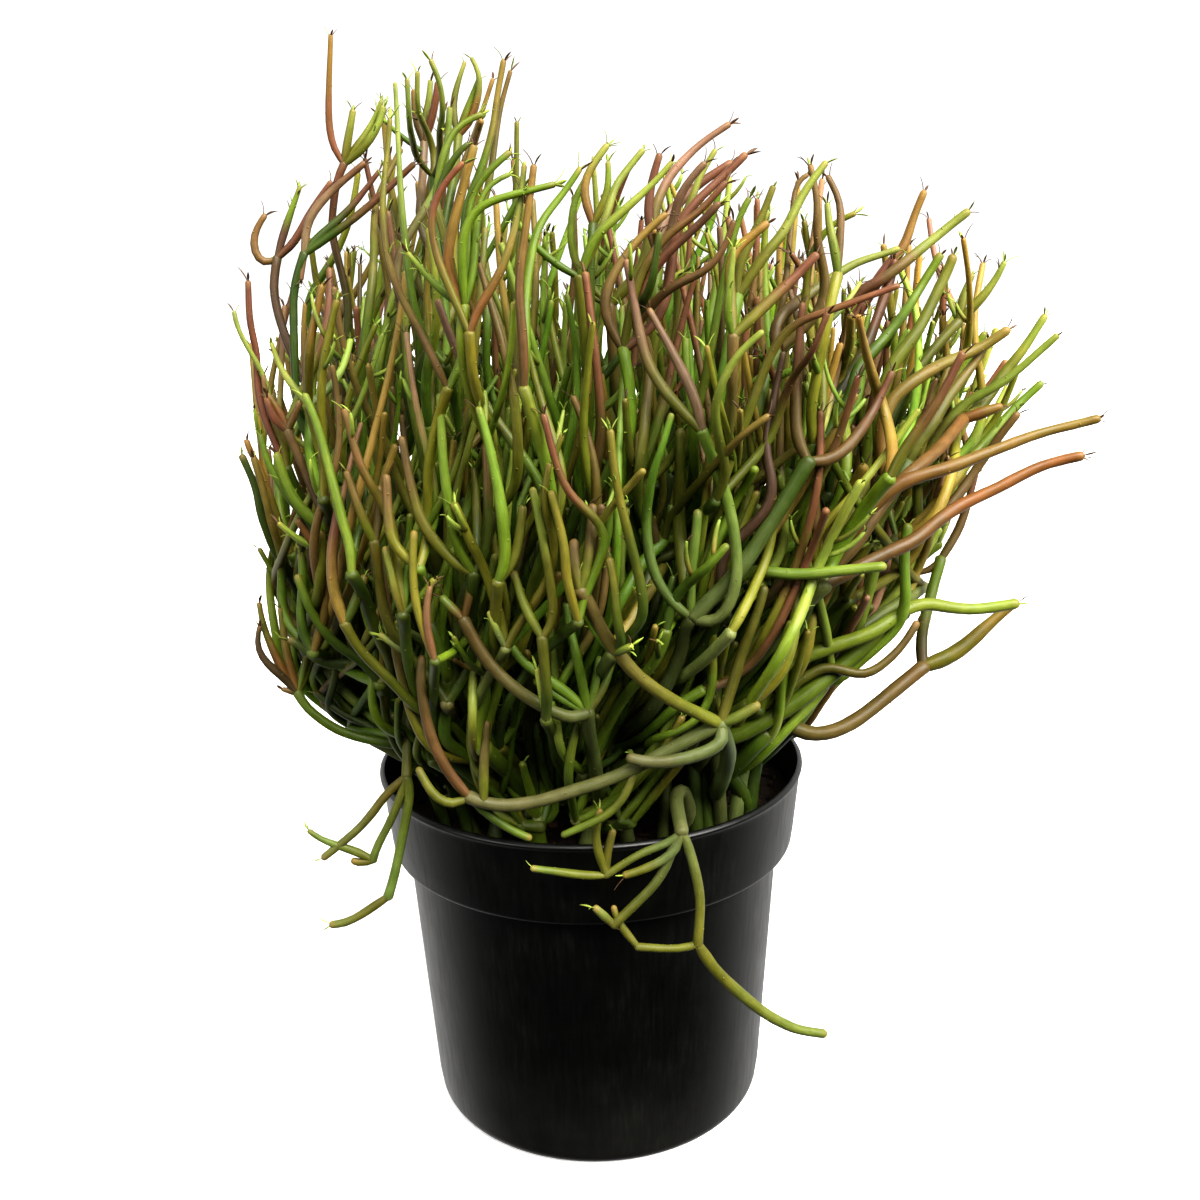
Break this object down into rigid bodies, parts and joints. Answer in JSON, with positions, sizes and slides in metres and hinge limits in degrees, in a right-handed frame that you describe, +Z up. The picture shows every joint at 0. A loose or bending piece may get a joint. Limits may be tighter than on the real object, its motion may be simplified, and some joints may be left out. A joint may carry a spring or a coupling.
{
  "type": "potted euphorbia",
  "caption": "Bushy pencil-stem euphorbia grown from rooted cuttings, standing in a plain black nursery pot with a tall collar.",
  "frame": {"origin": "centre of the pot's base on the plane it stands on", "axes": "+Z up along the pot's axis, -Y towards the front of the plant as pictured, +X to its right"},
  "size_m": [0.4512, 0.3878, 0.6393],
  "materials": {
    "pot_plastic": "satin",
    "soil": "matte",
    "stem_green": "satin",
    "stem_gold": "satin",
    "stem_waxy": "satin"
  },
  "bodies": {
    "root": {"pot": "pot_plastic", "soil": "soil", "stem_trailing_left": "stem_waxy", "stem_trailing_front": "stem_waxy", "stem_front_arc": "stem_waxy", "stem_front_centre": "stem_green", "stem_front_fork": "stem_green", "stem_middle_1": "stem_green", "stem_middle_2": "stem_green", "stem_middle_3": "stem_green", "stem_back_1": "stem_green", "stem_middle_4": "stem_green", "stem_middle_5": "stem_green", "stem_left_back_1": "stem_green", "stem_middle_6": "stem_green", "stem_right_back_1": "stem_green", "stem_left_1": "stem_green", "stem_right_front_1": "stem_green", "stem_back_2": "stem_green", "stem_left_front_1": "stem_green", "stem_right_1": "stem_gold", "stem_left_back_2": "stem_green", "stem_front_1": "stem_green", "stem_right_back_2": "stem_green", "stem_left_2": "stem_gold", "stem_right_front_2": "stem_green", "stem_left_back_3": "stem_green", "stem_left_front_2": "stem_gold", "stem_right_back_3": "stem_gold", "stem_left_3": "stem_green", "stem_right_front_3": "stem_gold", "stem_back_3": "stem_green", "stem_left_front_3": "stem_green", "stem_right_2": "stem_green"}
  },
  "joints": []
}
